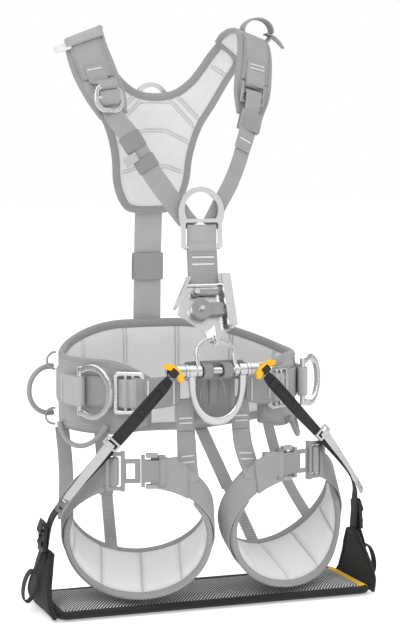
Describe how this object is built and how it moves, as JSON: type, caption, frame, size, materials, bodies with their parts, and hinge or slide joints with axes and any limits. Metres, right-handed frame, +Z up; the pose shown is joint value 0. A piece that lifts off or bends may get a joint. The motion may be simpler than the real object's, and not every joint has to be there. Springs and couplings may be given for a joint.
{
  "type": "tree climbing saddle",
  "caption": "Full-body arborist climbing saddle: padded belt with yoke, swinging attachment rings, chest ascender, buckled leg loops and a hung work seat.",
  "frame": {"origin": "centre of the waist opening, level with the belt webbing's middle", "axes": "+X to the viewer's right when the saddle is seen from its front (the wearer's left), -Y to the wearer's front, +Z up the wearer's back"},
  "size_m": [0.5482, 0.3657, 0.856],
  "materials": {
    "harness_fabric": "woven polyester",
    "lining": "quilted spacer mesh",
    "webbing": "woven webbing",
    "webbing_light": "woven webbing",
    "elastic": "ribbed elastic",
    "forged_metal": "satin forged",
    "steel": "polished",
    "cam_steel": "blasted",
    "grey_plastic": "moulded",
    "loop_tube": "covered cord",
    "seat_black": "woven, black",
    "seat_mesh": "open mesh over foam",
    "seat_board": "laminated",
    "seat_yellow": "moulded, yellow",
    "seat_tape": "pale tape",
    "buckle_black": "moulded"
  },
  "bodies": {
    "harness": {"ascender_frame": "forged_metal", "back_liner": "lining", "back_pad": "harness_fabric", "back_strap": "webbing_light", "belt_buckles": "forged_metal", "belt_liner": "lining", "belt_pad": "harness_fabric", "belt_webbing": "webbing", "chest_buckle": "grey_plastic", "chest_straps": "webbing", "dorsal_plate": "grey_plastic", "front_straps": "webbing_light", "gear_loops_front": "loop_tube", "gear_loops_rear": "loop_tube", "leg_elastic_left": "elastic", "leg_elastic_right": "elastic", "leg_side_strap_left": "webbing", "leg_side_strap_right": "webbing", "pin_sleeves": "webbing", "shoulder_buckles": "forged_metal", "shoulder_loops": "harness_fabric", "shoulder_pads": "harness_fabric", "side_ring_mounts": "webbing_light", "sternal_webbing": "webbing_light", "strap_keepers": "elastic", "ventral_bracket": "forged_metal", "ventral_panel": "harness_fabric", "ventral_pin": "steel"},
    "ventral_ring": {"ventral_ring": "forged_metal"},
    "ventral_link": {"ventral_link": "forged_metal"},
    "side_ring_left": {"side_ring_left": "forged_metal"},
    "side_ring_right": {"side_ring_right": "forged_metal"},
    "dorsal_ring": {"dorsal_ring": "forged_metal"},
    "sternal_ring": {"sternal_ring": "forged_metal"},
    "ascender_cam": {"ascender_cam": "cam_steel"},
    "ascender_catch": {"ascender_catch": "forged_metal"},
    "seat": {"seat_board": "seat_board", "seat_buckles": "buckle_black", "seat_cover": "seat_black", "seat_eyes": "steel", "seat_mesh": "seat_mesh", "seat_straps": "seat_black", "seat_stripes": "seat_yellow", "seat_tails": "seat_black", "seat_tapes": "seat_tape", "seat_toggles": "seat_yellow", "seat_wings": "seat_black"},
    "leg_left": {"leg_pad_left": "harness_fabric", "leg_webbing_left": "webbing", "leg_buckle_tongue_left": "forged_metal", "leg_buckle_body_left": "cam_steel"},
    "tab_upper_left": {"leg_tab_upper_left": "cam_steel"},
    "tab_lower_left": {"leg_tab_lower_left": "cam_steel"},
    "leg_right": {"leg_pad_right": "harness_fabric", "leg_webbing_right": "webbing", "leg_buckle_tongue_right": "forged_metal", "leg_buckle_body_right": "cam_steel"},
    "tab_upper_right": {"leg_tab_upper_right": "cam_steel"},
    "tab_lower_right": {"leg_tab_lower_right": "cam_steel"}
  },
  "joints": [
    {"name": "ventral_ring_swing", "type": "hinge", "parent": "harness", "child": "ventral_ring", "pos_m": [0, -0.165, 0.036], "axis": [-1, 0, 0], "range_deg": [0, 110]},
    {"name": "ventral_link_swing", "type": "hinge", "parent": "harness", "child": "ventral_link", "pos_m": [0, -0.165, 0.036], "axis": [1, 0, 0], "range_deg": [-2, 2]},
    {"name": "seat_swing", "type": "hinge", "parent": "harness", "child": "seat", "pos_m": [0, -0.165, 0.036], "axis": [-1, 0, 0], "range_deg": [0, 60]},
    {"name": "sternal_ring_fold", "type": "hinge", "parent": "harness", "child": "sternal_ring", "pos_m": [0, -0.099, 0.209], "axis": [1, 0, 0], "range_deg": [0, 80]},
    {"name": "dorsal_ring_fold", "type": "hinge", "parent": "harness", "child": "dorsal_ring", "pos_m": [0, 0.1408, 0.39883], "axis": [-1, 0, 0], "range_deg": [0, 150]},
    {"name": "side_ring_left_swing", "type": "hinge", "parent": "harness", "child": "side_ring_left", "pos_m": [-0.1743, -0.06365, 0.002], "axis": [0, 0, -1], "range_deg": [0, 172]},
    {"name": "side_ring_right_swing", "type": "hinge", "parent": "harness", "child": "side_ring_right", "pos_m": [0.1743, -0.06365, 0.002], "axis": [0, 0, 1], "range_deg": [-172, 0]},
    {"name": "ascender_cam_open", "type": "hinge", "parent": "harness", "child": "ascender_cam", "pos_m": [-0.012, -0.1297, 0.121], "axis": [0, 0.9136, -0.4067], "range_deg": [0, 30], "stiffness_Nm_per_rad": 0.03, "springref_deg": -20.05},
    {"name": "ascender_catch_press", "type": "hinge", "parent": "harness", "child": "ascender_catch", "pos_m": [-0.016, -0.1191, 0.1447], "axis": [0, -0.9136, 0.4067], "range_deg": [0, 20], "stiffness_Nm_per_rad": 0.02, "springref_deg": -20.05},
    {"name": "leg_left_swing", "type": "hinge", "parent": "harness", "child": "leg_left", "pos_m": [0, -0.15, -0.0502], "axis": [1, 0, 0], "range_deg": [0, 25], "deforming": ["leg_elastic_left", "leg_side_strap_left"]},
    {"name": "tab_upper_left_press", "type": "slide", "parent": "leg_left", "child": "tab_upper_left", "axis": [0, 0, -1], "range_m": [0, 0.0025], "stiffness_N_per_m": 800, "springref_m": -0.0008},
    {"name": "tab_lower_left_press", "type": "slide", "parent": "leg_left", "child": "tab_lower_left", "axis": [0, 0, 1], "range_m": [0, 0.0025], "stiffness_N_per_m": 800, "springref_m": -0.0008},
    {"name": "leg_right_swing", "type": "hinge", "parent": "harness", "child": "leg_right", "pos_m": [0, -0.15, -0.0502], "axis": [1, 0, 0], "range_deg": [0, 25], "deforming": ["leg_elastic_right", "leg_side_strap_right"]},
    {"name": "tab_upper_right_press", "type": "slide", "parent": "leg_right", "child": "tab_upper_right", "axis": [0, 0, -1], "range_m": [0, 0.0025], "stiffness_N_per_m": 800, "springref_m": -0.0008},
    {"name": "tab_lower_right_press", "type": "slide", "parent": "leg_right", "child": "tab_lower_right", "axis": [0, 0, 1], "range_m": [0, 0.0025], "stiffness_N_per_m": 800, "springref_m": -0.0008}
  ]
}
